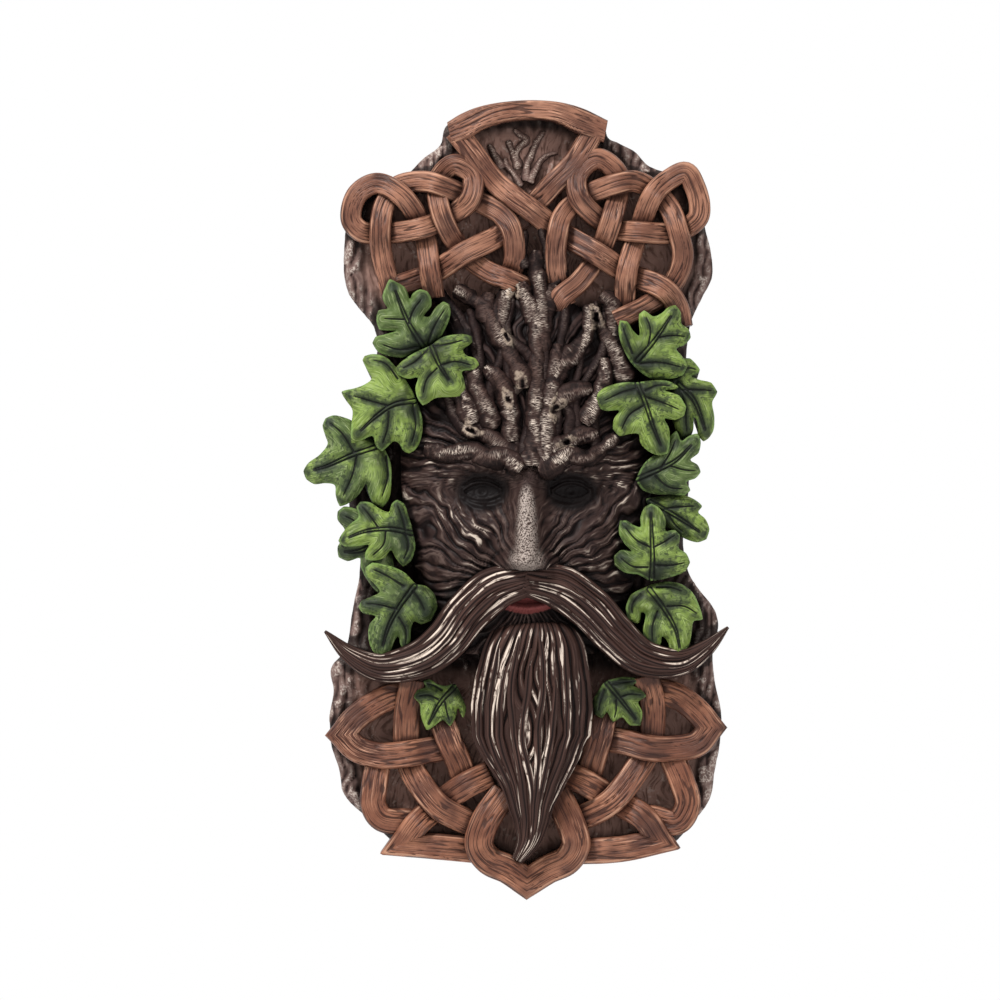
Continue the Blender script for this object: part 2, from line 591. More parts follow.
def inside_distance(x, z, rim):
    """How deep places lie inside a closed outline, below zero outside it, and its nearest point to each."""
    flat = np.stack([x.ravel(), z.ravel()], axis=-1)
    start = rim[:, [0, 2]]
    best = np.full(len(flat), 1e9)
    nearest = np.zeros_like(flat)
    inside = np.zeros(len(flat), bool)
    for (ax, az), (bx, bz) in zip(start, np.roll(start, -1, axis=0)):
        run = np.array([bx - ax, bz - az])
        share = np.clip(((flat - (ax, az)) @ run) / (run @ run), 0.0, 1.0)
        spot = (ax, az) + share[:, None] * run
        gap = np.hypot(*(flat - spot).T)
        closer = gap < best
        best[closer] = gap[closer]
        nearest[closer] = spot[closer]
        if bz != az:
            crosses = (az > flat[:, 1]) != (bz > flat[:, 1])
            inside ^= crosses & (flat[:, 0] < (bx - ax) * (flat[:, 1] - az) / (bz - az) + ax)
    return np.where(inside, best, -best).reshape(x.shape), nearest.reshape(*x.shape, 2)


def boundary_loop(quads):
    """The outer loop of a grid of quads, as numbers in order."""
    pairs = set()
    for a, b, c, d in quads.tolist():
        pairs.update([(a, b), (b, c), (c, d), (d, a)])
    follow = {second: first for first, second in sorted(pairs) if (second, first) not in pairs}
    start = min(follow)
    loop = [start]
    while follow[loop[-1]] != start:
        loop.append(follow[loop[-1]])
    return loop


def sheet(rim, step):
    """Even places inside an outline: x, z, how deep inside, the quads between them and their loop."""
    low = rim.min(axis=0)
    high = rim.max(axis=0)
    x, z = np.meshgrid(np.arange(low[0], high[0] + step, step), np.arange(low[2], high[2] + step, step))
    deep, nearest = inside_distance(x, z, rim)
    kept = deep > -0.3 * step
    cell = kept[:-1, :-1] & kept[1:, :-1] & kept[1:, 1:] & kept[:-1, 1:]
    around = np.zeros(kept.shape, int)
    for rows in (slice(0, -1), slice(1, None)):
        for columns in (slice(0, -1), slice(1, None)):
            around[rows, columns] += cell
    used = around > 0
    edge = used & (around < 4)
    x = np.where(edge, nearest[..., 0], x)[used]
    z = np.where(edge, nearest[..., 1], z)[used]
    deep = np.where(edge, 0.0, deep)[used]
    numbers = np.full(kept.shape, -1)
    numbers[used] = np.arange(used.sum())
    quads = np.stack([numbers[:-1, :-1], numbers[:-1, 1:], numbers[1:, 1:], numbers[1:, :-1]], axis=-1)[cell]
    return x, z, deep, quads, boundary_loop(quads)


# Ribbons and the arch

RIBBON_STEP = 0.78
RIBBON_COLUMNS = 31
RIBBON_DROP = 2.3
RIBBON_SWELL = 0.9
RIBBON_SEED = 1
RIBBON_SEED_STEP = 20
GRAIN_SPACING = 0.95
GRAIN_WAVER = 1.6
GRAIN_DEPTH = 0.5
FINE_GRAIN_DEPTH = 0.2
GRAIN_SHIFT = 31.0
ARCH_STEP = 0.2
ARCH_ROWS = 192
ARCH_COLUMNS = 35
ARCH_SEED = 901


def extended(line, length):
    """A line with a straight piece added past its end."""
    heading = line[-1] - line[-2]
    return np.vstack([line, line[-1] + heading / np.linalg.norm(heading) * length])


def limb_grid(line, half, share, cut):
    """Places across a limb, each lengthwise line cut where it meets the mitre, and distances along."""
    along = distance_along(line)
    start = along[-1] - 1.5 * half * abs(cut) - 0.1
    near_end = np.clip((along - start) / (along[-1] - start), 0.0, 1.0)
    wanted = along[:, None] + near_end[:, None] * (share * half * cut)[None, :]
    longer = extended(line, 3.0 * half)
    reach = distance_along(longer)
    heading = directions(line)
    heading = at_distance(np.vstack([heading, heading[-1:]]), reach, wanted)
    heading /= np.linalg.norm(heading, axis=-1)[..., None]
    spots = at_distance(longer, reach, wanted)
    return spots + crosswise(heading) * (share * half)[None, :, None], wanted


def ribbon_places(path, half, share):
    """The crest places of a ribbon, mitred at its corner if it has one, and distances along it."""
    level = BOARD_THICKNESS + RIBBON_RISE
    crest = [place(x, y, level + sum(passing) * WEAVE_RISE) for x, y, *passing in path]
    corner = next((index for index, spot in enumerate(path) if CORNER in spot[2:]), None)
    if corner is None:
        return limb_grid(smooth_line(crest, RIBBON_STEP), half, share, 0.0)
    before = smooth_line(crest[:corner + 1], RIBBON_STEP)
    after = smooth_line(crest[corner:], RIBBON_STEP)
    arriving = directions(before)[-1]
    leaving = directions(after)[0]
    turn = math.atan2(arriving[0] * leaving[2] - arriving[2] * leaving[0], float(arriving @ leaving))
    cut = math.tan(turn / 2)
    first, along_first = limb_grid(before, half, share, cut)
    second, along_second = limb_grid(after[::-1], half, -share, -cut)
    onward = along_first[-1:] + along_second[-1:] - along_second[::-1][1:]
    return np.concatenate([first, second[::-1][1:]]), np.concatenate([along_first, onward])


def add_band(shell, spots, across, along, seed):
    """A band with carved grain through its crest places, with rounded edges."""
    lane = across / GRAIN_SPACING + GRAIN_WAVER * (noise(along / 13.0, across / 4.0, seed) - 0.5)
    groove = smooth(creases(lane, along / 24.0, seed + 3), 0.78, 0.97)
    fine = creases(lane * 2.2, along / 12.0, seed + 7)
    swell = RIBBON_SWELL * (layered(along / 12.0, across / 5.0, seed + 5) - 0.5)
    carve = swell - GRAIN_DEPTH * groove - FINE_GRAIN_DEPTH * fine
    edge = np.abs(np.linspace(-1.0, 1.0, spots.shape[1]))
    spots = spots.copy()
    spots[:, :, 1] += RIBBON_DROP * (1.0 - np.sqrt(1.0 - 0.98 * edge ** 5)) - carve
    wear = bell(edge - 0.82, 0.13) * layered(along / 9.0, across / 9.0 + seed, seed + 11)
    shell.add_strip(spots, ROOT_LEVEL, carve=carve, mark=groove, tone=wear,
                    across=across + GRAIN_SHIFT * seed, along=along)


def add_arch(shell):
    """The arch over the window, from its outer edge to its inner one, lower towards its ends."""
    edges = []
    for edge in (ARCH_OUTER, ARCH_INNER):
        line = smooth_line([place(x, y, BOARD_THICKNESS + ARCH_RISE) for x, y in edge], ARCH_STEP)
        line[:, 1] += ARCH_END_DROP * smooth(np.abs(line[:, 0]), 20.0, 31.0)
        reach = distance_along(line)
        edges.append(at_distance(line, reach, np.linspace(0.0, reach[-1], ARCH_ROWS)))
    share = np.linspace(0.0, 1.0, ARCH_COLUMNS)
    spots = mix(edges[0][:, None, :], edges[1][:, None, :], share[None, :, None])
    width = np.linalg.norm(edges[0] - edges[1], axis=1)
    across = (share[None, :] - 0.5) * width[:, None]
    along = np.broadcast_to(distance_along(edges[0])[:, None], across.shape)
    add_band(shell, spots, across, along, ARCH_SEED)


def knotwork(groups):
    """Ribbons woven over and under each other, in groups of one width."""
    shell = Shell()
    share = np.linspace(-1.0, 1.0, RIBBON_COLUMNS)
    ribbons = [(path, width) for paths, width in groups for path in paths]
    for number, (path, width) in enumerate(ribbons):
        spots, along = ribbon_places(path, width / 2, share)
        across = np.broadcast_to(share * width / 2, along.shape)
        add_band(shell, spots, across, along, RIBBON_SEED + RIBBON_SEED_STEP * number)
    return shell


# Leaves

LEAF_STEP = 0.36
LEAF_POINTED = 0.85
LEAF_DOME_REACH = 5.0
LEAF_PILLOW = 1.1
LEAF_LUMPS = 1.6
LEAF_BRUSH = 0.22
LEAF_FOOT_SHARE = 0.97
LEAF_SEED = 40
SPRIG_SEED = 300
LEAF_SEED_STEP = 9
MAIN_VEIN_WIDTH = 0.95
SIDE_VEIN_WIDTH = 0.5
VEIN_DEPTH = 0.85
VEIN_RIB = 0.5
VEIN_STEP = 1.5

# How far behind the edge each ring of a leaf's side lies, and its size.
LEAF_WALL = [(0.35, 1.012), (0.9, 1.014), (1.8, 1.0), (3.0, 0.97)]


def vein_distance(x, z, path):
    return line_distance(x, z, smooth_line([place(*spot) for spot in path], VEIN_STEP))


def resized(ring, middle, grow, level):
    """A ring of places grown about a middle, at another level."""
    ring = middle + (ring - middle) * np.array([grow, 1.0, grow])
    ring[:, 1] = level
    return ring


def leaf_wall(edge, foot):
    """The rings of a leaf's side, from just behind its edge back to the root level."""
    middle = edge.mean(axis=0)
    wall = [resized(edge, middle, grow, edge[:, 1] + back) for back, grow in LEAF_WALL]
    under = wall[-1]
    for depth in np.linspace(0.25, 1.0, 4):
        level = mix(under[:, 1], -ROOT_LEVEL, depth)
        wall.append(resized(under, middle, mix(1.0, foot, depth ** 0.7), level))
    return np.stack(wall)


def add_leaf(shell, outline, main, sides, rise, overhangs, lift, seed):
    """A domed ivy leaf with carved veins, on a stem of its own outline."""
    x, z, deep, quads, loop = sheet(closed_line(outline, LEAF_POINTED), LEAF_STEP)
    gap, way = vein_distance(x, z, main)
    half = MAIN_VEIN_WIDTH * mix(1.0, 0.25, way)
    fade = 1.0 - smooth(way, 0.9, 1.0)
    groove = bell(gap - half, 0.38) * fade
    rib = bell(gap, half * 0.7) * fade
    nearest = gap
    for side in sides:
        gap, way = vein_distance(x, z, side)
        width = SIDE_VEIN_WIDTH * mix(1.0, 0.55, way)
        groove = np.maximum(groove, bell(gap, width) * (1.0 - smooth(way, 0.86, 1.0)))
        nearest = np.minimum(nearest, gap)
    inward = np.clip(deep / LEAF_DOME_REACH, 0.0, 1.0)
    pillow = LEAF_PILLOW * (1.0 - bell(nearest, 2.6)) * smooth(deep, 0.0, 3.0)
    lumps = LEAF_LUMPS * (layered(x / 8.0, z / 8.0, seed) - 0.5)
    brush = LEAF_BRUSH * (creases(x / 1.1 + z / 2.3, z / 3.5, seed + 5) - 0.5)
    carve = pillow + lumps + brush + VEIN_RIB * rib - VEIN_DEPTH * groove
    out = BOARD_THICKNESS + rise - LEAF_CROWN * (1.0 - inward) ** 2 + carve * smooth(deep, -0.2, 0.7)
    front = np.stack([x, -out, z], axis=-1)
    wall = leaf_wall(front[loop], LEAF_ROOT_SHARE if overhangs else LEAF_FOOT_SHARE)
    stalk = place(*main[0])
    from_stalk = np.hypot(x - stalk[0], z - stalk[2])
    shade = np.clip(np.linspace(-0.4, 1.4, len(wall)), 0.0, 1.0)
    shell.add_sheet(front, quads, loop, wall, shade, 0.0,
                    carve=carve, mark=groove, tone=deep, lift=lift, across=nearest, along=from_stalk)


def foliage(leaves, lifts, rise, seed):
    shell = Shell()
    for index, (layer, overhangs, outline, main, sides) in enumerate(leaves):
        level = rise + layer * LEAF_LAYER_RISE
        add_leaf(shell, outline, main, sides, level, overhangs, lifts[index], seed + LEAF_SEED_STEP * index)
    return shell


# The head

FACE_STEP = 0.5
EYE_LINE = 0.5
EYE_APART = 18.4
EYE_HALF_WIDTH = 7.4
EYE_HALF_HEIGHT = 2.7
RIDGE_DEPTH = 1.9
RIDGE_MIDDLE = 0.62
NOSE_HEIGHT = 17.5
NOSE_TIP_HEIGHT = 4.4
NOSE_TIP_SHARE = 0.292
WING_HEIGHT = 5.5
WING_APART = 8.8
WING_SHARE = 0.28
NOSTRIL_SHARE = 0.247
NOSTRIL_DEPTH = 2.5
MOUTH_SHARE = 0.166
MOUTH_CALM_SHARE = 0.165
MOUTH_HALF_WIDTH = 13.5
UPPER_LIP = 4.4
LOWER_LIP = 5.2
LIP_PARTING = 1.7

# Brow, eye sockets, cheeks and chin: how far each stands out, its share of the way up and its spread
# there, and its share of the width to the side and its spread there.
FACE_FORMS = [
    (6.0, 0.585, 0.04, 0.2, 0.17), (-9.5, 0.505, 0.055, 0.2, 0.11), (5.5, 0.33, 0.11, 0.27, 0.12),
    (5.0, 0.05, 0.06, 0.0, 0.15),
]


def head_half_width(share):
    from_widest = np.abs(share - 0.6) / np.where(share > 0.6, 0.52, 0.72)
    return HEAD_WIDTH / 2 * np.maximum(0.14, np.sqrt(1.0 - np.minimum(1.0, from_widest) ** 2))


def nose_down(share):
    """How far down the nose a height lies: 0 at its root, 1 near its tip."""
    return np.clip((0.57 - share) / 0.27, 0.0, 1.0)


def nose_out(x, share):
    """How far the nose stands out: its ridge, its round tip and its wings."""
    down = nose_down(share)
    length = mix(0.3, 1.0, down) * smooth(share, 0.235, 0.285) * (1.0 - smooth(share, 0.55, 0.62))
    ridge = NOSE_HEIGHT * length * bell(np.abs(x) / FACE_WIDTH, mix(0.07, 0.09, down))
    tip = NOSE_TIP_HEIGHT * bell(np.hypot(x, (share - NOSE_TIP_SHARE) * HEAD_HEIGHT), 8.4)
    wing_far = np.hypot(np.abs(x) - WING_APART, (share - WING_SHARE) * HEAD_HEIGHT)
    crease = 1.3 * bell(wing_far - 5.2, 1.0) * smooth(np.abs(x), 3.0, 5.0)
    return ridge + tip + WING_HEIGHT * bell(wing_far, 4.2) - crease


def face_out(x, share):
    """How far the face stands out from the wall, without its carving."""
    from_edge = np.minimum(1.0, np.abs(x) / head_half_width(share))
    round_over = np.sqrt(1.0 - 0.94 * from_edge ** 2)
    lengthwise = np.sqrt(1.0 - ((share - 0.45) / 0.7) ** 2)
    dome = BOARD_THICKNESS + HEAD_EDGE_RISE + HEAD_RISE * round_over * lengthwise
    apart = np.abs(x) / FACE_WIDTH
    forms = [rise * bell(share - up, tall) * bell(apart - aside, wide)
             for rise, up, tall, aside, wide in FACE_FORMS]
    return dome + sum(forms) + nose_out(x, share)


def carve_eyes(x, z, out):
    """Lids, eyeballs and irises carved into the sockets, and where the eyeballs are."""
    across = (np.abs(x) - EYE_APART) / EYE_HALF_WIDTH
    lid_line = EYE_HALF_HEIGHT * np.maximum(0.0, 1.0 - np.abs(across) ** 2.2)
    above = z - lid_line * 1.05
    below = -z - lid_line * 0.8
    is_near = 1.0 - smooth(np.abs(across), 1.0, 1.25)
    inside = smooth(-np.maximum(above, below), -0.25, 0.35) * (1.0 - smooth(np.abs(across), 0.92, 1.02))
    lids = 2.6 * bell(above - 0.9, 1.0) + 1.5 * bell(above - 3.6, 1.1) + 1.5 * bell(below - 0.7, 0.8)
    lids = lids + 0.7 * bell(below - 3.4 + 0.8 * across, 1.0)
    reach = np.sqrt((np.abs(x) - EYE_APART) ** 2 + (z * 1.15) ** 2)
    ball = 2.8 * np.sqrt(np.maximum(0.0, 1.0 - (reach / 9.0) ** 2)) - 1.2
    iris = -0.35 * bell(reach - 2.9, 0.4) - 0.9 * bell(reach, 1.1)
    socket = out + 4.6 * bell(reach, 8.0)
    return mix(socket + lids * is_near * (1.0 - inside), socket + ball + iris, inside), inside


def face_ridges(x, z):
    """Bark strands that fan over brow and cheeks: their height, and distances across and along them."""
    side = np.abs(x)
    mirrored = np.where(x < 0, 0.0, 40.0)
    warp = layered(x / 13.0 + mirrored, z / 13.0, 71)
    upper_far = np.hypot(side + 4.0, z - 2.0)
    upper = np.arctan2(z - 2.0, side + 4.0) * 11.0 + 2.0 * warp + upper_far * 0.03
    lower_far = np.hypot(side + 2.0, z + 40.0)
    lower = np.arctan2(z + 40.0, side + 2.0) * 8.0 + 2.6 * warp
    eye_far = np.hypot((side - EYE_APART) / 1.45, z)
    by_eye = bell(eye_far - 8.5, 4.0)
    is_upper = smooth(z + 3.0 * warp, 2.0, 12.0)
    height = mix(strands(lower), strands(upper), is_upper)
    height = mix(height, strands(eye_far / 3.4 + 1.6 * warp), 0.4 * by_eye)
    across = mix(lower, upper, is_upper) * 2.6 + mirrored
    along = mix(lower_far, upper_far, is_upper)
    fine = creases(across / 0.8, along / 11.0, 77)
    return height - 0.42 * smooth(fine, 0.55, 0.95), across, along


def carve_mouth(x, height):
    """Closed lips with a parting between them: how far they stand out, and where they are."""
    side = np.abs(x) / MOUTH_HALF_WIDTH
    above = height - MOUTH_SHARE * HEAD_HEIGHT + 0.6 * bell(side, 0.5) - 0.9 * side ** 2
    width = np.sqrt(np.maximum(0.0, 1.0 - side ** 2))
    upper = UPPER_LIP * bell(above - 2.0 * width, 1.7) * width * (1.0 - 0.28 * bell(x, 1.6))
    lower = LOWER_LIP * bell(above + 2.6 * width, 2.1) * width
    parting = LIP_PARTING * bell(above, 0.5) * width
    edge = smooth(np.abs(above + 0.5), 2.6 * width + 1.0, 3.4 * width + 1.3)
    return upper + lower - parting, smooth(width * (1.0 - edge), 0.2, 0.5)


def head():
    """The head: rows from the chin to the crown, carved as bark round eyes, nose and mouth."""
    rows = int(HEAD_HEIGHT * HEAD_TOP_SHARE / FACE_STEP)
    share = np.linspace(0.0, HEAD_TOP_SHARE, rows)[:, None]
    x = np.linspace(-1.0, 1.0, int(HEAD_WIDTH / FACE_STEP))[None, :] * head_half_width(share)
    share = np.broadcast_to(share, x.shape)
    height = share * HEAD_HEIGHT
    z = height - EYE_LINE * HEAD_HEIGHT
    out, eye = carve_eyes(x, z, face_out(x, share))
    mouth, lips = carve_mouth(x, height)
    near_eye = bell(np.hypot((np.abs(x) - EYE_APART) / 1.35, z), 7.2)
    near_nose = bell(x, 6.5) * smooth(share, 0.2, 0.24) * (1.0 - smooth(share, 0.5, 0.6))
    near_mouth = bell(x / 1.6, 8.0) * bell(share - MOUTH_CALM_SHARE, 0.035)
    calm = np.clip(1.0 - 1.15 * near_eye - near_nose - near_mouth, 0.0, 1.0)
    ridges, across, along = face_ridges(x, z)
    carve = mix(RIDGE_MIDDLE, ridges, calm)
    pits = 0.35 * (layered(x / 1.3, z / 1.7, 5) - 0.5)
    nostril = NOSTRIL_DEPTH * bell(np.abs(x) - 5.0, 1.9) * bell(height - NOSTRIL_SHARE * HEAD_HEIGHT, 1.4)
    out = out + RIDGE_DEPTH * (carve - RIDGE_MIDDLE) + pits + mouth - nostril
    spots = np.stack([x, -out, place(0, CHIN_GRID_Y)[2] + height], axis=-1)
    bridge = bell(x, mix(3.2, 5.0, nose_down(share))) * smooth(share, 0.24, 0.27)
    bridge = bridge * (1.0 - smooth(share, 0.47, 0.56))
    bridge = np.maximum(bridge, bell(np.hypot(x, height - NOSE_TIP_SHARE * HEAD_HEIGHT), 7.2))
    shell = Shell()
    shell.add_strip(spots, ROOT_LEVEL, carve=carve - 0.45 * smooth(share, 0.64, 0.72), mark=lips - eye,
                    tone=bridge - near_eye, across=across, along=along)
    return shell


# Branches and roots

BRANCH_STEP = 0.42
BRANCH_COLUMNS = 13
ROOT_STEP = 0.9
ROOT_COLUMNS = 7
ROOT_COUNT = 11
ROOT_POINTS = 7
BARK_GROOVE = 0.8
BARK_WRINKLE = 0.32
BARK_LUMPS = 0.9
STUB_HOLE = 0.8
STUB_RING = 0.25
BRANCH_SEED = 500
WINDOW_TWIG_SEED = 721
TWIG_SEED = 800
ROOT_SEED = 1500
LIMB_SEED_STEP = 13
ROOT_SEED_STEP = 7


def branch_bed(x, y):
    """How far out a branch lies: on the head, and on the board past the head."""
    spot = place(x, y)
    share = (spot[2] - place(0, CHIN_GRID_Y)[2]) / HEAD_HEIGHT
    on_head = face_out(spot[0], min(share, HEAD_TOP_SHARE))
    on_board = BOARD_THICKNESS + BRANCH_TOP_RISE * (1.0 - smooth(share, 1.34, 1.54))
    return float(mix(on_head, on_board, smooth(share, 1.0, 1.3)))


def stub_marks(spots, heading):
    """The rings and the holes of the broken stub ends at these places, longer along the branch."""
    ring = np.zeros(spots.shape[:2])
    hole = np.zeros(spots.shape[:2])
    rough = 0.5 * (noise(spots[..., 0] / 0.9, spots[..., 2] / 0.9, 77) - 0.5)
    for x, y, size in STUBS:
        offset = spots - place(x, y)
        offset[..., 1] = 0.0
        along = (offset * heading[:, None, :]).sum(axis=-1)
        across = (offset * crosswise(heading)[:, None, :]).sum(axis=-1)
        gap = np.hypot(along / 2.4, across) / size + rough
        ring = np.maximum(ring, bell(gap - 0.95, 0.45))
        hole = np.maximum(hole, 1.0 - smooth(gap, 0.25, 0.55))
    return ring, hole


def add_branch(shell, path, radius, seed, step=BRANCH_STEP, columns=BRANCH_COLUMNS):
    """A tapering branch with twisted bark and crosswise wrinkles, rounded at both ends."""
    line = smooth_line([place(x, y, branch_bed(x, y) + radius * BRANCH_LIFT) for x, y in path], step)
    along = distance_along(line)[:, None]
    from_end = np.minimum(along + 0.35 * radius, along[-1] - along + 0.25 * radius)
    blunt = np.sqrt(1.0 - (1.0 - np.clip(from_end / (1.5 * radius), 0.0, 1.0)) ** 2)
    bulge = 1.0 + 0.55 * (layered(along / 6.0, along * 0.0 + seed, seed) - 0.5)
    thick = radius * mix(1.45, 0.85, along / along[-1]) * bulge
    share = np.linspace(-1.0, 1.0, columns)[None, :]
    angle = share * math.pi / 2
    lane = share * 1.6 + along / 16.0 + 1.1 * noise(along / 6.0, share * 1.4, seed)
    groove = smooth(creases(lane, along / 14.0, seed + 2), 0.6, 0.95)
    wrinkles = creases(along / 0.95 + 1.4 * noise(along / 4.0, share * 2.0, seed + 3), share * 1.7, seed + 4)
    lumps = layered(along / 3.4, share * 1.6, seed + 6) - 0.5
    carve = 0.3 - BARK_GROOVE * groove - BARK_WRINKLE * wrinkles + BARK_LUMPS * lumps
    carve = carve * min(1.0, radius / 3.0)
    wide = (thick + carve) * (0.25 + 0.75 * blunt)
    spots = beside(line, np.sin(angle) * wide)
    spots[..., 1] += thick - np.cos(angle) * (thick + carve) + 0.9 * radius * (1.0 - blunt)
    ring, hole = stub_marks(spots, directions(line))
    spots[..., 1] += radius * (STUB_HOLE * hole - STUB_RING * ring)
    shell.add_strip(spots, ROOT_LEVEL, carve=carve - 2.0 * hole, mark=ring,
                    tone=np.cos(angle) - 0.25 * wrinkles, across=share * radius + 17.0 * seed, along=along)


def limbs(paths, radius, seed):
    shell = Shell()
    for number, path in enumerate(paths):
        add_branch(shell, path, radius, seed + LIMB_SEED_STEP * number)
    return shell


def roots():
    """Dark twigs and thin roots that fan up the forehead behind the branches."""
    shell = limbs(TWIGS, TWIG_RADIUS, TWIG_SEED)
    for number in range(ROOT_COUNT):
        spread = mix(-1.0, 1.0, (number + 0.5) / ROOT_COUNT)
        start, reach, wave, size = [float(noise(number * 0.7 + 0.35, 3.3 * kind, 91)) for kind in range(4)]
        low_y = 468.0 - 55.0 * start * abs(spread)
        high_y = 296.0 + 50.0 * reach * spread ** 2
        path = []
        for index in range(ROOT_POINTS):
            way = index / (ROOT_POINTS - 1)
            sway = 28.0 * (float(noise(way * 2.6 + wave * 5.0, number * 0.61, 93)) - 0.5)
            path.append((527.0 + spread * mix(72.0, 108.0, way) + sway, mix(low_y, high_y, way)))
        radius = mix(1.3, 2.9, size) / 1.15
        add_branch(shell, path, radius, ROOT_SEED + ROOT_SEED_STEP * number, ROOT_STEP, ROOT_COLUMNS)
    return shell


# Hair

HAIR_STEP = 0.62
HAIR_SPACING = 0.34
BEARD_TOP_ROUND = 11.0
MOUSTACHE_OVERLAP = 2.0
LOCK_COLUMNS = 13
LANE_START = 50.0
MOUSTACHE_STRANDS = 8
MOUSTACHE_WAVE = 1.4
MOUSTACHE_SEED = 700
MOUSTACHE_LOCK_HALF = 1.5
MOUSTACHE_LOCK_SEED = 760
BEARD_STRANDS = 13
BEARD_WAVE = 3.4
BEARD_SEED = 901
BEARD_LOCK_HALF = 1.8
BEARD_LOCK_SEED = 930


def add_hair(shell, line, half, crown, root, lanes, wave, seed):
    """A broad body of long strands side by side, with fine hairs on each."""
    share = np.linspace(-1.0, 1.0, int(2 * half.max() / HAIR_SPACING))[None, :]
    along = distance_along(line)[:, None]
    half = half[:, None]
    waver = wave * (noise(along / 24.0, share * 1.8, seed) - 0.5)
    waver = waver + 0.4 * (noise(along / 8.0, share * 4.0, seed + 1) - 0.5)
    lane = share * lanes / 2 + waver * (1.0 - share ** 2) + LANE_START
    height = strands(lane, 0.75)
    spacing = 2 * half / lanes
    carve = height - 0.22 * smooth(creases(lane * 3.4, along / 20.0, seed + 2), 0.5, 0.95)
    uneven = noise(np.floor(lane) * 3.7, along / 30.0, seed + 3)
    depth = np.minimum(1.5, 0.45 * spacing) * (0.6 + 0.8 * uneven)
    spots = beside(line, share * half)
    spots[..., 1] += crown[:, None] * np.abs(share) ** 2.4 - depth * (carve - 0.6)
    lit = noise(np.floor(lane) * 5.3, along / 17.0, seed + 4) * smooth(along, 1.0, 9.0)
    lit = lit * mix(1.05, 0.6, along / along[-1])
    shell.add_strip(spots, root, carve=carve, mark=1.0 - height, tone=lit, across=lane * 2.5, along=along)


def add_lock(shell, line, half, seed):
    """A tapering lock of hair with fine strands along it."""
    along = distance_along(line)[:, None]
    share = np.linspace(-1.0, 1.0, LOCK_COLUMNS)[None, :]
    half = half[:, None]
    angle = share * math.pi / 2
    lane = share + 0.4 * (noise(along / 13.0, share * 0.0 + seed, seed) - 0.5) + LANE_START
    height = strands(lane, 0.8)
    carve = height - 0.2 * creases(lane * 3.0, along / 15.0, seed + 2)
    spots = beside(line, np.sin(angle) * half)
    spots[..., 1] += half * (1.0 - np.cos(angle)) - np.minimum(0.7, 0.3 * half) * (carve - 0.5)
    root = -line[:, 1] - 2.4 * half[:, 0] - 0.6
    lit = noise(along / 15.0, share * 0.8 + seed, seed + 3)
    shell.add_strip(spots, root, carve=carve, mark=1.0 - height, tone=lit,
                    across=lane * 2.5 + seed, along=along)


def lay_lock(shell, line, half, crown, lane, first, last, thickness, seed):
    """Lays a lock over a body of hair, from a first to a last share of its length."""
    share = np.linspace(0.0, 1.0, len(line))
    kept = (share >= first) & (share <= last)
    way = share[kept]
    drift = lane + 0.22 * (noise(way * 4.0, way * 0.0 + lane * 7.0, seed) - 0.5) * (1.0 - abs(lane))
    spots = line[kept] + crosswise(directions(line))[kept] * (drift * half[kept])[:, None]
    from_end = np.minimum((way - first) * 7.0, (last - way) * 4.0)
    taper = np.clip(from_end, 0.02, 1.0) ** 0.6
    width = np.minimum(thickness, 0.45 * half[kept]) * taper
    spots[:, 1] += crown[kept] * np.abs(drift) ** 2.4 - 0.9 * width + 0.3
    add_lock(shell, spots, width, seed)


def moustache():
    shell = Shell()
    for number, path in enumerate(MOUSTACHE_PATHS):
        count = len(path) - 1
        drawn = [place(x, y, BOARD_THICKNESS + mix(MOUSTACHE_ROOT_RISE, MOUSTACHE_TIP_RISE, index / count))
                 for index, (x, y) in enumerate(path)]
        inward = (drawn[0] - drawn[1]) / np.linalg.norm(drawn[0] - drawn[1])
        line = smooth_line([drawn[0] + MOUSTACHE_OVERLAP * inward] + drawn, HAIR_STEP)
        share = np.linspace(0.0, 1.0, len(line))
        taper = mix(0.68, 1.0, np.minimum(1.0, share / 0.16)) * (1.0 - share ** 3) + 0.06
        half = MOUSTACHE_WIDTH / 2 * taper
        crown = 4.0 * taper
        free = smooth(share, 0.72, 0.92)
        root = mix(ROOT_LEVEL, -line[:, 1] - 4.0 * (0.4 + taper), free)
        seed = MOUSTACHE_SEED + 13 * number
        add_hair(shell, line, half, crown, root, MOUSTACHE_STRANDS, MOUSTACHE_WAVE, seed)
        for lock, (lane, first, last) in enumerate(MOUSTACHE_LOCKS):
            seed = MOUSTACHE_LOCK_SEED + 60 * number + 5 * lock
            lay_lock(shell, line, half, crown, lane, first, last, MOUSTACHE_LOCK_HALF, seed)
    return shell


def beard():
    shell = Shell()
    count = len(BEARD_ROWS) - 1
    drawn = np.array([place(x, y, BOARD_THICKNESS + mix(BEARD_ROOT_RISE, BEARD_TIP_RISE, index / count))
                      for index, (y, x, wide) in enumerate(BEARD_ROWS)])
    line = smooth_line(drawn, HAIR_STEP)
    share = distance_along(line) / distance_along(line)[-1]
    reach = distance_along(drawn)
    widths = np.interp(share, reach / reach[-1], [wide for y, x, wide in BEARD_ROWS])
    half = widths * BEARD_WIDTH / 2 * mix(1.0, 0.96, share)
    crown = widths * BEARD_WIDTH * 0.2
    from_top = np.clip(distance_along(line) / BEARD_TOP_ROUND, 0.0, 1.0)
    blunt = np.sqrt(1.0 - (1.0 - from_top) ** 2)
    half = half * mix(0.7, 1.0, blunt)
    line[:, 1] += BEARD_TOP_ROUND * 0.7 * (1.0 - blunt)
    add_hair(shell, line, half, crown, ROOT_LEVEL, BEARD_STRANDS, BEARD_WAVE, BEARD_SEED)
    for lock, (lane, first, last) in enumerate(BEARD_LOCKS):
        lay_lock(shell, line, half, crown, lane, first, last, BEARD_LOCK_HALF, BEARD_LOCK_SEED + 7 * lock)
    return shell


# The board

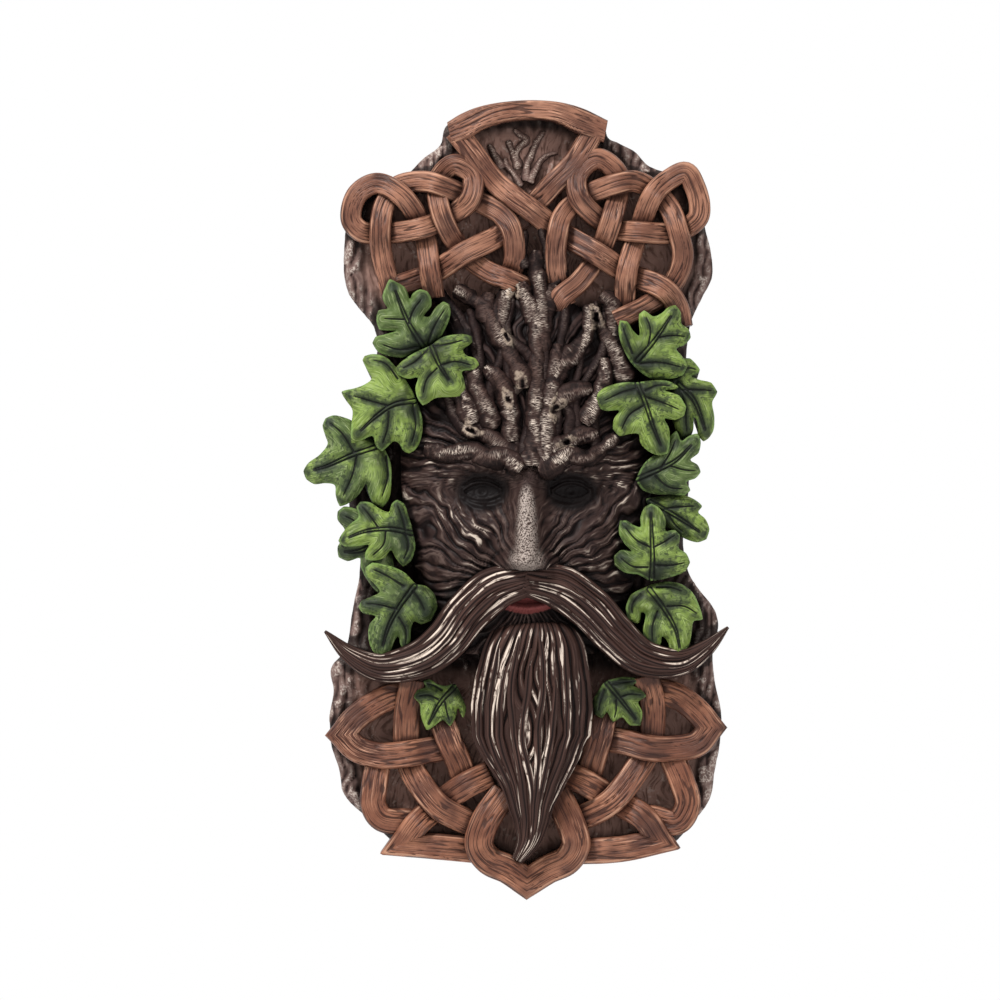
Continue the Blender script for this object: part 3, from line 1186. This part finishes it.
BOARD_STEP = 0.9
BOARD_RIDGES = 1.6
BOARD_LUMPS = 3.2
PANEL_LUMPS = 1.2
PANEL_RISE = 1.6
BOARD_PITS = 1.3
BOARD_KNOBS = 1.5
BOARD_CRACKS = 0.4
BOARD_DROP = 0.8
RIM_RINGS = 9
RIM_BULGE = 0.8


def board():
    """The bark board: a carved front inside its outline, a lumpy rim and a flat back."""
    x, z, deep, quads, loop = sheet(closed_line(BOARD_OUTLINE), BOARD_STEP)
    panel = smooth(np.abs(z - 4.0), 72.0, 82.0) * smooth(deep, 6.0, 13.0)
    lane = x / 4.6 + 5.0 * layered(x / 24.0, z / 24.0, 31)
    height = strands(lane, 0.8) * mix(1.0, 0.35, panel)
    fine = creases(lane * 3.1, z / 9.0, 36)
    lumps = mix(BOARD_LUMPS, PANEL_LUMPS, panel) * (layered(x / 8.0, z / 9.0, 37) - 0.5)
    pits = BOARD_PITS * (layered(x / 1.7, z / 1.9, 38) - 0.5)
    knobs = BOARD_KNOBS * smooth(noise(x / 2.8, z / 3.4, 40), 0.62, 0.85) * (1.0 - panel)
    carve = BOARD_RIDGES * (height - 0.6) - BOARD_CRACKS * fine + pits + knobs
    into = np.clip(1.0 - deep / BOARD_RIM_ROUND, 0.0, 1.0)
    rounded = BOARD_RIM_ROUND * (1.0 - np.sqrt(1.0 - 0.96 * into ** 2))
    out = BOARD_THICKNESS - BOARD_DROP + PANEL_RISE * panel - rounded
    out = out + (lumps + carve) * smooth(deep, 0.0, 2.5)
    front = np.stack([x, -out, z], axis=-1)
    edge = front[loop]
    heading = np.roll(edge, -1, axis=0) - np.roll(edge, 1, axis=0)
    outward = -crosswise(heading / np.linalg.norm(heading, axis=1)[:, None])
    around = np.cumsum(np.linalg.norm(np.roll(edge, -1, axis=0) - edge, axis=1))
    level = np.linspace(0.1, 1.0, RIM_RINGS)[:, None]
    bulge = layered(around / 5.0, level * 3.0, 41) - 0.4
    wall = edge + outward * (RIM_BULGE * bulge * (level < 1.0))[..., None]
    wall[..., 1] = edge[:, 1] * (1.0 - level)
    shell = Shell()
    shell.add_sheet(front, quads, loop, wall, np.zeros(len(wall)), 3.0 * bulge,
                    carve=carve, mark=(1.0 - height) * (1.0 - panel), tone=panel,
                    lift=bell(deep, 7.0), across=lane * 4.2, along=z)
    return shell


# The hollows between forms, for the dark wash

RELIEF_STEP = 0.7
RELIEF_MARGIN = 3.0

# Each blur of the map: its radius in cells, and how deep a full hollow is in millimetres.
RELIEF_BLURS = [(2, 2.6), (5, 5.0), (10, 9.0)]


def blurred(field, radius):
    """A box blur, run twice."""
    size = 2 * radius + 1
    for _ in range(2):
        for axis in (0, 1):
            pad = [(radius + 1, radius) if side == axis else (0, 0) for side in (0, 1)]
            total = np.cumsum(np.pad(field, pad, mode="edge"), axis=axis)
            upper = np.take(total, np.arange(size, total.shape[axis]), axis=axis)
            lower = np.take(total, np.arange(0, total.shape[axis] - size), axis=axis)
            field = (upper - lower) / size
    return field


class Relief:
    """A map of how far the front stands out, from all pieces together."""

    def __init__(self, clouds):
        cloud = np.vstack(clouds)
        self.low = cloud.min(axis=0) - RELIEF_MARGIN
        size = np.ceil((cloud.max(axis=0) + RELIEF_MARGIN - self.low) / RELIEF_STEP).astype(int)
        front = np.zeros((size[0] + 1, size[2] + 1))
        np.maximum.at(front, self.cells(cloud), -cloud[:, 1])
        for _ in range(2):
            around = np.max([np.roll(front, shift, axis) for shift in (-1, 1) for axis in (0, 1)], axis=0)
            front = np.where(front <= 0.0, around, front)
        self.maps = [(blurred(front, radius), scale) for radius, scale in RELIEF_BLURS]

    def cells(self, points):
        spots = np.round((points - self.low) / RELIEF_STEP).astype(int)
        return spots[:, 0], spots[:, 2]

    def hollow(self, points):
        """How deep each point lies below what is around it, from 0 to 1."""
        cells = self.cells(points)
        total = sum(np.clip((smoothed[cells] + points[:, 1]) / scale, -0.3, 1.0)
                    for smoothed, scale in self.maps)
        return np.clip(total * 0.5, 0.0, 1.0) * smooth(-points[:, 1], ROOT_LEVEL, 2.0 * ROOT_LEVEL)


def finish_piece(name, shell, relief, material):
    mesh = bpy.data.meshes.new(name)
    cloud = shell.cloud()
    mesh.from_pydata((cloud * MM).tolist(), [], shell.faces)
    painted = {key: np.concatenate(parts) for key, parts in shell.values.items()}
    painted["hollow"] = relief.hollow(cloud)
    for key, value in painted.items():
        layer = mesh.attributes.new(key, "FLOAT", "POINT")
        layer.data.foreach_set("value", value.astype(np.float32))
    mesh.polygons.foreach_set("use_smooth", [True] * len(mesh.polygons))
    mesh.materials.append(material)
    piece = bpy.data.objects.new(name, mesh)
    bpy.context.scene.collection.objects.link(piece)
    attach(piece, "root")
    return piece


# Paint

LAMP_TONE = 0.84


def srgb(red, green, blue):
    """A linear colour from 0 to 255 screen values, toned down for the strength of the lamps."""
    values = [channel / 255 for channel in (red, green, blue)]
    linear = [v / 12.92 if v <= 0.04045 else ((v + 0.055) / 1.055) ** 2.4 for v in values]
    return [LAMP_TONE * v for v in linear] + [1.0]


class Paint:
    """A node material built up coat by coat. A value that each point carries is given by its name."""

    def __init__(self, name, base, roughness, gloss):
        self.material = bpy.data.materials.new(name)
        self.material.use_nodes = True
        self.tree = self.material.node_tree
        self.shader = self.tree.nodes["Principled BSDF"]
        self.shader.inputs["Specular IOR Level"].default_value = gloss
        self.shader.inputs["Roughness"].default_value = roughness
        self.colour = srgb(*base)
        self.place = self.tree.nodes.new("ShaderNodeTexCoord").outputs["Object"]
        self.flow = self.node("ShaderNodeCombineXYZ", [(0, "across"), (1, "along")])

    def node(self, kind, inputs, output=0, **settings):
        """Adds a node, feeds its inputs and gives one of its outputs."""
        made = self.tree.nodes.new(kind)
        for key, value in settings.items():
            setattr(made, key, value)
        for socket, value in inputs:
            self.feed(made.inputs[socket], value)
        return made.outputs[output]

    def feed(self, socket, value):
        """Gives a socket a point's value by its name, another node's output, or a plain value."""
        if isinstance(value, str):
            value = self.node("ShaderNodeAttribute", [], "Fac", attribute_name=value)
        if isinstance(value, bpy.types.NodeSocket):
            self.tree.links.new(value, socket)
        else:
            socket.default_value = value

    def texture(self, vector, scale, detail):
        inputs = [("Vector", vector), ("Scale", scale), ("Detail", detail)]
        return self.node("ShaderNodeTexNoise", inputs, "Fac")

    def noise(self, scale, detail=3.0):
        """Noise by place, with so many waves to a metre."""
        return self.texture(self.place, scale, detail)

    def streaks(self, across, along, detail=3.0):
        """Noise that follows the grain, with so many waves to a millimetre across and along it."""
        inputs = [(0, self.flow), (1, (across, along, 1.0))]
        return self.texture(self.node("ShaderNodeVectorMath", inputs, operation="MULTIPLY"), 1.0, detail)

    def between(self, value, low, high):
        inputs = [(0, value), (1, low), (2, high)]
        return self.node("ShaderNodeMapRange", inputs, interpolation_type="SMOOTHSTEP")

    def times(self, first, second):
        return self.node("ShaderNodeMath", [(0, first), (1, second)], operation="MULTIPLY")

    def plus(self, first, second):
        return self.node("ShaderNodeMath", [(0, first), (1, second)], operation="ADD")

    def coat(self, colour, amount, *ranges):
        """Lays a colour by an amount where each value of the ranges goes from its low to its high."""
        for value, low, high in ranges:
            amount = self.times(amount, self.between(value, low, high))
        inputs = [("Factor", amount), ("A", self.colour), ("B", srgb(*colour))]
        self.colour = self.node("ShaderNodeMix", inputs, "Result", data_type="RGBA")

    def done(self, height, bump=0.5, distance=0.0003):
        """Finishes the material, with its fine relief from a height."""
        self.feed(self.shader.inputs["Base Color"], self.colour)
        inputs = [("Strength", bump), ("Distance", distance), ("Height", height)]
        self.feed(self.shader.inputs["Normal"], self.node("ShaderNodeBump", inputs))
        return self.material


def ribbon_paint(name, base, light, wash):
    paint = Paint(name, base, 0.4, 0.14)
    lines = paint.streaks(3.0, 0.06, 5.0)
    paint.coat(light, 1.0, (paint.noise(70.0, 4.0), 0.4, 0.62))
    paint.coat((70, 43, 35), wash, (paint.noise(52.0, 2.0), 0.46, 0.7))
    paint.coat((46, 26, 22), 0.7, (lines, 0.47, 0.4))
    patches = (paint.noise(50.0), 0.4, 0.72)
    paint.coat((196, 150, 124), 1.0, (lines, 0.54, 0.6), ("carve", -0.25, 0.15), patches)
    paint.coat((186, 142, 116), 0.6, ("tone", 0.3, 0.7))
    paint.coat((46, 27, 23), 0.75, ("mark", 0.2, 0.8))
    paint.coat((48, 29, 24), 0.7, ("hollow", 0.02, 0.55))
    return paint.done(lines, 0.8, 0.0005)


def leaf_paint():
    paint = Paint("leaf_paint", (73, 88, 47), 0.55, 0.12)
    strokes = paint.streaks(2.6, 0.22, 5.0)
    paint.coat((110, 129, 60), 1.0, (paint.plus(paint.noise(70.0), "lift"), 0.42, 0.6))
    paint.coat((44, 58, 32), 0.6, (strokes, 0.5, 0.36))
    paint.coat((156, 163, 124), 0.4, (strokes, 0.54, 0.66))
    paint.coat((30, 37, 28), 0.9, (paint.noise(110.0, 6.0), 0.4, 0.53), ("across", 4.4, 0.5))
    paint.coat((130, 146, 92), 0.2, ("carve", 0.6, 1.7))
    paint.coat((22, 26, 21), 0.9, ("along", 15.0, 2.0), (paint.noise(150.0, 5.0), 0.34, 0.56))
    paint.coat((112, 138, 78), 0.5, ("tone", 1.0, 0.2), (paint.noise(160.0), 0.4, 0.56))
    paint.coat((28, 36, 25), 0.7, (paint.noise(700.0, 6.0), 0.52, 0.6), (paint.noise(55.0), 0.4, 0.58))
    paint.coat((14, 17, 13), 0.95, ("mark", 0.3, 0.62))
    paint.coat((20, 27, 18), 0.85, ("hollow", 0.3, 0.85))
    return paint.done(paint.plus(strokes, paint.noise(700.0, 4.0)), 0.4, 0.0002)


def board_paint():
    """Pale bark with stippled crests, and smoother brown panels where the knotwork lies."""
    paint = Paint("board_paint", (82, 63, 58), 0.6, 0.06)
    lines = paint.streaks(0.8, 0.14, 4.0)
    paint.coat((104, 84, 77), 1.0, (lines, 0.48, 0.62))
    paint.coat((42, 29, 27), 0.85, ("mark", 0.4, 0.85))
    paint.coat((34, 24, 22), 0.8, ("carve", 0.0, -1.2))
    paint.coat((118, 100, 94), paint.times("lift", 0.7), ("carve", -0.4, 0.6))
    crest = paint.plus("carve", paint.times("lift", 0.3))
    paint.coat((178, 166, 156), 0.72, (paint.noise(1000.0, 4.0), 0.47, 0.57), (crest, 0.2, 1.2))
    paint.coat((18, 12, 11), 0.85, ("hollow", 0.45, 1.0))
    paint.coat((140, 109, 98), paint.times("tone", 0.92))
    paint.coat((76, 53, 45), paint.times("tone", 0.8), (lines, 0.52, 0.36))
    worn = (paint.noise(700.0, 5.0), 0.52, 0.62)
    paint.coat((168, 150, 140), paint.times("tone", 0.6), worn, (paint.noise(120.0), 0.5, 0.65))
    return paint.done(paint.noise(800.0, 4.0), 0.6)


def branch_paint(name, cream, base, light, wash):
    """Wrinkled bark with a cream dry brush on its crests and a dark wash between them."""
    paint = Paint(name, base, 0.55, 0.06)
    wrinkles = paint.streaks(1.0, 3.3, 5.0)
    crest = paint.between("tone", 0.55, 0.95)
    paint.coat((26, 18, 17), wash, (paint.streaks(1.2, 0.2), 0.52, 0.38))
    paint.coat(light, crest, (wrinkles, 0.4, 0.6))
    patches = (paint.noise(45.0, 2.0), 0.38, 0.55)
    creamy = paint.times(crest, cream)
    paint.coat((194, 180, 166), creamy, ("carve", -0.6, 0.2), (wrinkles, 0.48, 0.58), patches)
    paint.coat((150, 134, 118), 0.7 * cream, ("mark", 0.35, 0.85), (paint.noise(900.0), 0.3, 0.55))
    paint.coat((20, 14, 13), wash, ("tone", 0.6, 0.1))
    paint.coat((20, 14, 14), wash, ("carve", -0.3, -1.0))
    paint.coat((14, 10, 10), wash, ("hollow", 0.3, 0.85))
    return paint.done(wrinkles, 0.8)


def face_paint():
    """Dark bark with a cream dry brush on its ridges, dark eyes, muted lips and a stippled nose."""
    paint = Paint("face_paint", (46, 33, 30), 0.5, 0.06)
    lines = paint.streaks(1.3, 0.16, 4.0)
    patches = (paint.noise(42.0, 2.0), 0.4, 0.6)
    paint.coat((46, 34, 32), 1.0, (paint.noise(60.0), 0.42, 0.7))
    paint.coat((24, 17, 17), 0.8, (lines, 0.47, 0.34))
    paint.coat((98, 82, 75), 0.5, ("carve", 0.45, 0.95), (lines, 0.42, 0.6))
    paint.coat((186, 172, 158), 0.85, ("carve", 0.76, 0.96), (lines, 0.46, 0.6), patches)
    paint.coat((16, 12, 12), 0.9, ("hollow", 0.3, 0.9))
    paint.coat((16, 11, 11), 0.9, ("carve", 0.55, 0.15))
    paint.coat((13, 9, 9), 0.95, ("tone", -0.05, -0.45))
    paint.coat((146, 134, 126), 1.0, ("tone", 0.2, 0.8), (paint.noise(1500.0), 0.4, 0.58))
    paint.coat((108, 56, 54), 0.9, ("mark", 0.0, 0.8))
    paint.coat((17, 13, 13), 1.0, ("mark", 0.0, -0.6))
    return paint.done(lines)


def hair_paint():
    paint = Paint("hair_paint", (50, 35, 31), 0.5, 0.06)
    lines = paint.streaks(1.6, 0.05)
    thin = (paint.streaks(2.4, 0.12, 4.0), 0.4, 0.5)
    crest = paint.plus("carve", paint.times("tone", 0.7))
    paint.coat((70, 50, 44), 1.0, (lines, 0.5, 0.64))
    paint.coat((198, 182, 168), 1.0, (crest, 1.18, 1.34), thin, (paint.noise(260.0, 4.0), 0.34, 0.48))
    paint.coat((14, 9, 9), 0.9, ("mark", 0.35, 0.75))
    paint.coat((14, 10, 10), 0.8, ("hollow", 0.35, 1.0))
    return paint.done(lines)


# The pieces

def dress():
    """Makes the pieces that stand for the solid."""
    upper = knotwork([(ARCH_LEGS, ARCH_LEG_WIDTH), (UPPER_RIBBONS, RIBBON_WIDTH)])
    add_arch(upper)
    lower = knotwork([(LOWER_RIBBONS, LOWER_RIBBON_WIDTH), ([RING_PATH], RING_WIDTH)])
    leaves_left = foliage(LEAVES_LEFT, LIFTS_LEFT, LEAF_RISE, LEAF_SEED)
    leaves_right = foliage(LEAVES_RIGHT, LIFTS_RIGHT, LEAF_RISE, LEAF_SEED)
    leaf_sprigs = foliage(SPRIG_LEAVES, LIFTS_SPRIGS, SPRIG_RISE, SPRIG_SEED)
    window_twigs = limbs(WINDOW_TWIGS, WINDOW_TWIG_RADIUS, WINDOW_TWIG_SEED)
    ribbon = ribbon_paint("ribbon_paint", (104, 68, 53), (140, 98, 78), 0.75)
    low_ribbon = ribbon_paint("low_ribbon_paint", (104, 65, 49), (140, 94, 72), 0.9)
    leaf = leaf_paint()
    hair = hair_paint()
    branch = branch_paint("branch_paint", 1.0, (44, 31, 28), (78, 61, 55), 0.9)
    twig = branch_paint("twig_paint", 0.9, (88, 68, 62), (116, 92, 84), 0.4)
    root = branch_paint("root_paint", 0.12, (30, 20, 19), (50, 37, 34), 0.9)
    shells = [
        ("bark_board", board(), board_paint(), "bark"),
        ("knotwork_upper", upper, ribbon, "ribbon"),
        ("knotwork_lower", lower, low_ribbon, "ribbon"),
        ("leaves_left", leaves_left, leaf, "leaf"),
        ("leaves_right", leaves_right, leaf, "leaf"),
        ("leaf_sprigs", leaf_sprigs, leaf, "leaf"),
        ("head", head(), face_paint(), "bark"),
        ("branches", limbs(BRANCHES, BRANCH_RADIUS, BRANCH_SEED), branch, "bark"),
        ("window_twigs", window_twigs, twig, "bark"),
        ("forehead_roots", roots(), root, "bark"),
        ("moustache", moustache(), hair, "bark"),
        ("beard", beard(), hair, "bark"),
    ]
    relief = Relief([shell.cloud() for name, shell, material, slot in shells])
    pieces = [finish_piece(name, shell, relief, material) for name, shell, material, slot in shells]
    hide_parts("green_man_plaque")


# Stage, light and camera

CAMERA_DISTANCE = 3.0
IMAGE_SIZE = 1000
VIEW_SIZE = IMAGE_SIZE * UNIT * MM
SENSOR = 36.0
FOCUS_PLANE = 0.03
FAR_LIMIT = 20.0
FLOOR_SIZE = 6.0
FLOOR_DROP = 0.45
FLOOR_PALE = (0.9, 0.9, 0.9, 1.0)
FLOOR_ROUGHNESS = 0.9
WHITE = (1.0, 1.0, 1.0, 1.0)

# Each lamp: name, place and size in metres, and power in watts.
LAMPS = [("key", (-0.7, -0.9, 1.2), 0.4, 42.0), ("fill", (1.3, -1.5, -0.1), 1.0, 9.0)]


def stage():
    """A plain pale floor below the plaque."""
    bpy.ops.mesh.primitive_plane_add(size=FLOOR_SIZE, location=(0.0, 0.0, -FLOOR_DROP))
    floor = bpy.context.object
    floor.name = "floor"
    material = bpy.data.materials.new("floor_white")
    material.use_nodes = True
    shader = material.node_tree.nodes["Principled BSDF"]
    shader.inputs["Base Color"].default_value = FLOOR_PALE
    shader.inputs["Roughness"].default_value = FLOOR_ROUGHNESS
    floor.data.materials.append(material)


def lamp(name, spot, size, power):
    """A round soft lamp that shines at the middle of the plaque."""
    data = bpy.data.lights.new(name, "AREA")
    data.shape = "DISK"
    data.size = size
    data.energy = power
    lamp_object = bpy.data.objects.new(name, data)
    lamp_object.location = spot
    tilt = math.atan2(math.hypot(spot[0], spot[1]), spot[2])
    lamp_object.rotation_euler = (tilt, 0.0, math.atan2(spot[0], -spot[1]))
    bpy.context.scene.collection.objects.link(lamp_object)


def lights_and_camera():
    scene = bpy.context.scene
    world = bpy.data.worlds.new("studio")
    scene.world = world
    world.use_nodes = True
    background = world.node_tree.nodes["Background"]
    background.inputs["Color"].default_value = WHITE
    background.inputs["Strength"].default_value = 1.0
    for settings in LAMPS:
        lamp(*settings)
    scene.view_settings.view_transform = "Standard"
    camera = bpy.data.objects.new("camera", bpy.data.cameras.new("camera"))
    camera.data.sensor_width = SENSOR
    camera.data.lens = SENSOR * CAMERA_DISTANCE / VIEW_SIZE
    camera.data.clip_end = FAR_LIMIT
    centre = place(IMAGE_SIZE / 2, IMAGE_SIZE / 2) * MM
    camera.location = (centre[0], -CAMERA_DISTANCE - FOCUS_PLANE, centre[2])
    camera.rotation_euler = (math.pi / 2, 0.0, 0.0)
    scene.collection.objects.link(camera)
    scene.camera = camera


dress()
stage()
lights_and_camera()
bpy.context.view_layer.update()
